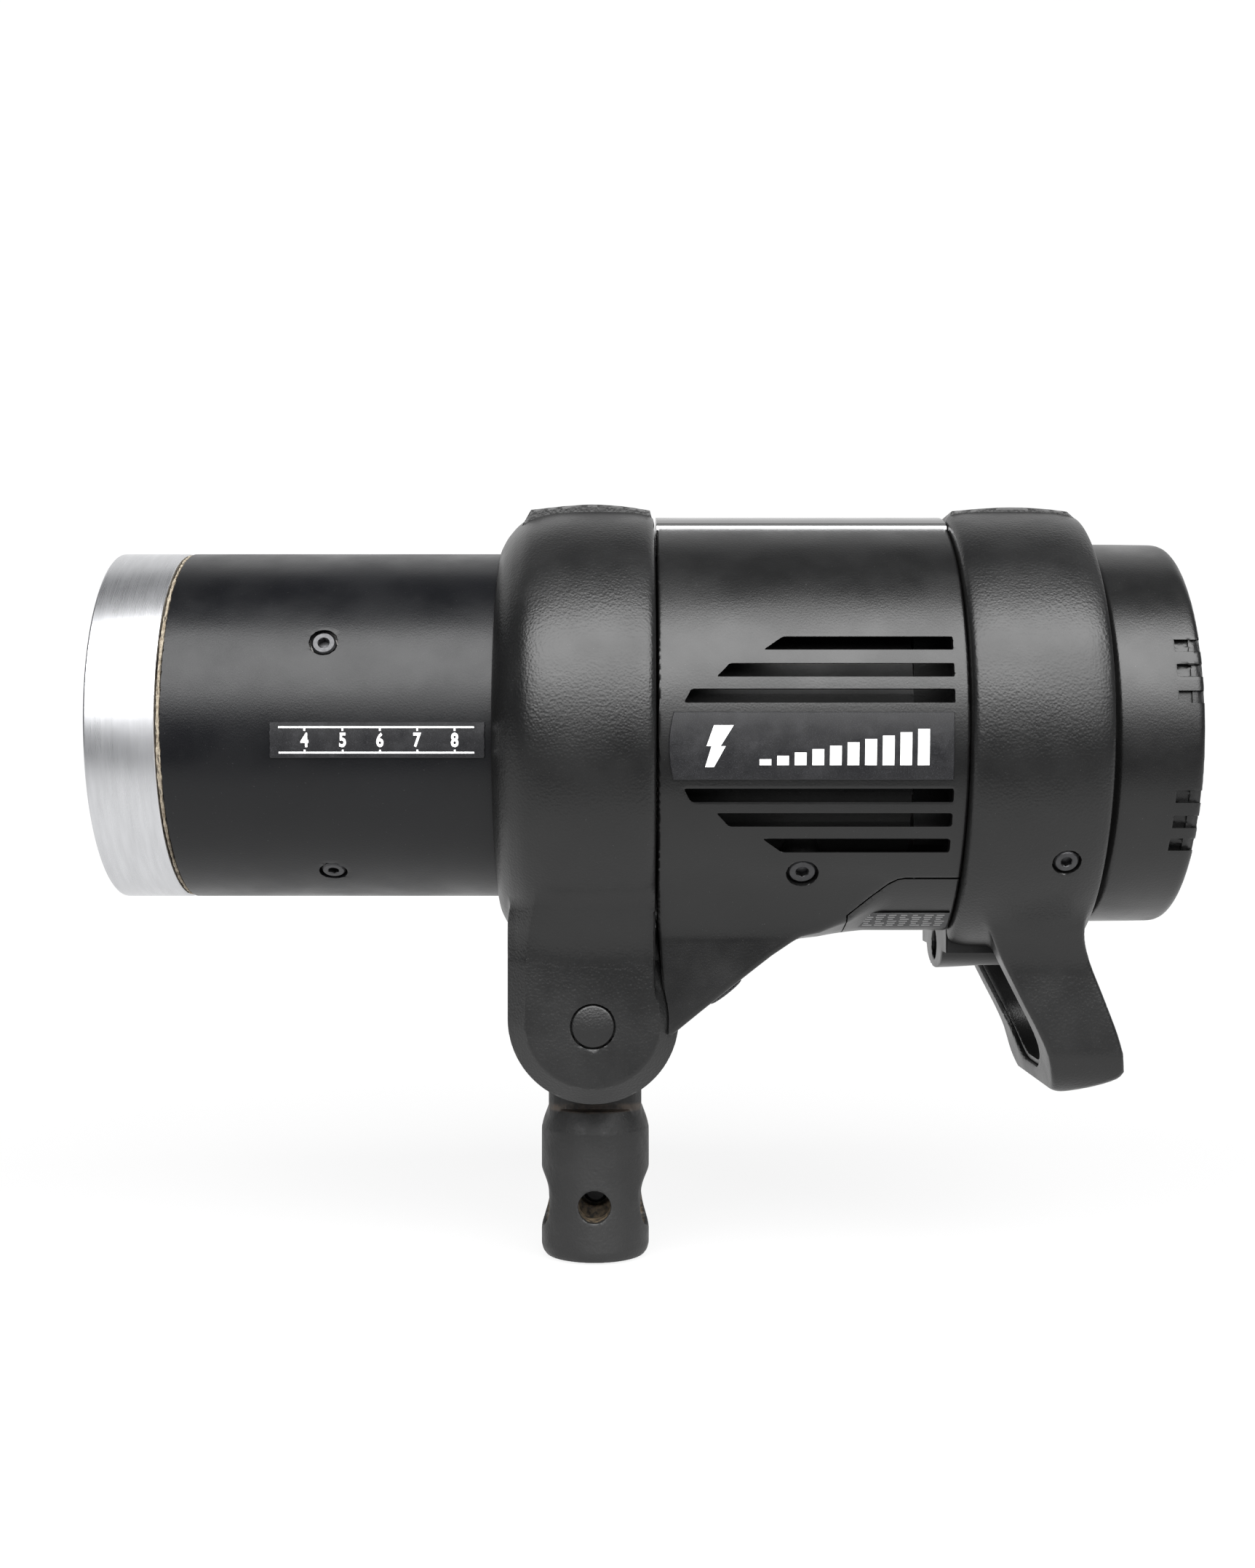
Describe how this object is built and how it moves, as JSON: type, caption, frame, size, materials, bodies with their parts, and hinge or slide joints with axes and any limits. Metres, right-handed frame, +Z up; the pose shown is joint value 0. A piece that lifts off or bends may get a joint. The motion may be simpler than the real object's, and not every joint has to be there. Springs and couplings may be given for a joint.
{
  "type": "monolight strobe",
  "caption": "Studio flash head with built-in power unit, lamp tube with zoom scale, pivot lugs on a tilting stand adapter, vented body and rear carrying handle.",
  "frame": {"origin": "centre of the stand socket's mouth, on the underside of the stand adapter", "axes": "+Z up along the stand socket; the lamp fires towards -X; -Y is the side with the zoom scale"},
  "size_m": [0.2995, 0.13, 0.2166],
  "materials": {
    "stand_black": "fine satin black powder coat",
    "soft_black": "fine leather-grain soft touch",
    "satin_black": "satin moulded",
    "gloss_black": "polished",
    "tube_black": "black anodised, fine grain",
    "bare_aluminium": "turned and brushed",
    "reflector": "satin reflector",
    "dark_steel": "blackened socket screws",
    "bright_steel": "ground",
    "gasket": "aged fibre seal",
    "frosted_glass": "frosted",
    "clear_glass": "clear",
    "ceramic": "unglazed ceramic",
    "circuit_board": "solder-masked laminate",
    "can_grey": "sleeved can",
    "insulation": "insulating sheet",
    "label_film": "printed film"
  },
  "bodies": {
    "stand": {"stand_adapter": "stand_black", "friction_disc_left": "bright_steel", "friction_disc_right": "bright_steel"},
    "head": {"badge_left": "label_film", "badge_right": "label_film", "body_screw_left": "dark_steel", "body_screw_right": "dark_steel", "bottom_cover": "satin_black", "capacitor_1": "can_grey", "capacitor_2": "can_grey", "capacitor_3": "can_grey", "capacitor_4": "can_grey", "collar_screw_left": "dark_steel", "collar_screw_right": "dark_steel", "control_board": "circuit_board", "control_panel": "satin_black", "display_window": "gloss_black", "fan_frame": "satin_black", "flash_tube": "clear_glass", "front_collar": "soft_black", "front_gasket": "gasket", "front_glass": "frosted_glass", "front_mount_ring": "bare_aluminium", "front_tube": "tube_black", "glass_retainer": "dark_steel", "handle_liner": "gloss_black", "inner_reflector": "reflector", "insulating_sleeve": "insulation", "lamp_base_plate": "ceramic", "lamp_socket": "ceramic", "main_body_left": "satin_black", "main_body_right": "satin_black", "mains_inlet": "satin_black", "modelling_lamp": "clear_glass", "pivot_axle": "bright_steel", "pivot_cap": "soft_black", "power_board": "circuit_board", "rating_label": "label_film", "rear_collar_handle": "soft_black", "rear_housing": "satin_black", "sync_socket": "bright_steel", "top_strip": "gloss_black", "tube_screw_lower_left": "dark_steel", "tube_screw_lower_right": "dark_steel", "tube_screw_upper_left": "dark_steel", "tube_screw_upper_right": "dark_steel", "umbrella_guide": "satin_black", "zoom_scale_label": "label_film"},
    "lock_screw": {"lock_screw_shaft": "dark_steel"},
    "lock_knob": {"lock_knob": "soft_black"},
    "tilt_knob": {"tilt_knob": "soft_black"},
    "umbrella_screw": {"umbrella_screw_shaft": "dark_steel"},
    "umbrella_knob": {"umbrella_screw_head": "dark_steel"},
    "energy_dial": {"energy_dial": "soft_black"},
    "button_1": {"panel_button_1": "soft_black"},
    "button_2": {"panel_button_2": "soft_black"},
    "button_3": {"panel_button_3": "soft_black"},
    "button_4": {"panel_button_4": "soft_black"},
    "power_switch": {"power_switch": "soft_black"},
    "fan": {"fan_rotor": "gloss_black"}
  },
  "joints": [
    {"name": "head_tilt", "type": "hinge", "parent": "stand", "child": "head", "pos_m": [0, 0, 0.071], "axis": [0, 1, 0], "range_deg": [-90, 60]},
    {"name": "tilt_knob_turn", "type": "hinge", "parent": "head", "child": "tilt_knob", "pos_m": [0, 0.05, 0.071], "axis": [0, 1, 0], "range_deg": [0, 180]},
    {"name": "lock_screw_travel", "type": "slide", "parent": "stand", "child": "lock_screw", "axis": [0, 1, 0], "range_m": [-0.004, 0.004]},
    {"name": "lock_knob_turn", "type": "hinge", "parent": "lock_screw", "child": "lock_knob", "pos_m": [0, 0.028, 0.0162], "axis": [0, 1, 0], "range_deg": [-1080, 1080]},
    {"name": "umbrella_screw_travel", "type": "slide", "parent": "head", "child": "umbrella_screw", "axis": [0.6159, 0, -0.7879], "range_m": [-0.001, 0.003]},
    {"name": "umbrella_knob_turn", "type": "hinge", "parent": "umbrella_screw", "child": "umbrella_knob", "pos_m": [0.0359, 0, 0.0794], "axis": [0.6159, 0, -0.7879], "range_deg": [-360, 1080]},
    {"name": "energy_dial_turn", "type": "hinge", "parent": "head", "child": "energy_dial", "pos_m": [0.1585, 0, 0.1536], "axis": [1, 0, 0], "continuous": true},
    {"name": "button_1_press", "type": "slide", "parent": "head", "child": "button_1", "axis": [-1, 0, 0], "range_m": [0, 0.0008], "stiffness_N_per_m": 800},
    {"name": "button_2_press", "type": "slide", "parent": "head", "child": "button_2", "axis": [-1, 0, 0], "range_m": [0, 0.0008], "stiffness_N_per_m": 800},
    {"name": "button_3_press", "type": "slide", "parent": "head", "child": "button_3", "axis": [-1, 0, 0], "range_m": [0, 0.0008], "stiffness_N_per_m": 800},
    {"name": "button_4_press", "type": "slide", "parent": "head", "child": "button_4", "axis": [-1, 0, 0], "range_m": [0, 0.0008], "stiffness_N_per_m": 800},
    {"name": "power_switch_rock", "type": "hinge", "parent": "head", "child": "power_switch", "pos_m": [0.152, 0.019, 0.1246], "axis": [0, 1, 0], "range_deg": [0, 16]},
    {"name": "fan_spin", "type": "hinge", "parent": "head", "child": "fan", "pos_m": [0.0935, 0, 0.1526], "axis": [1, 0, 0], "continuous": true}
  ],
  "couplings": [
    {"joint": "lock_screw_travel", "follows": "lock_knob_turn", "m_per_rad": 0.00019894},
    {"joint": "umbrella_screw_travel", "follows": "umbrella_knob_turn", "m_per_rad": 0.00012732}
  ]
}
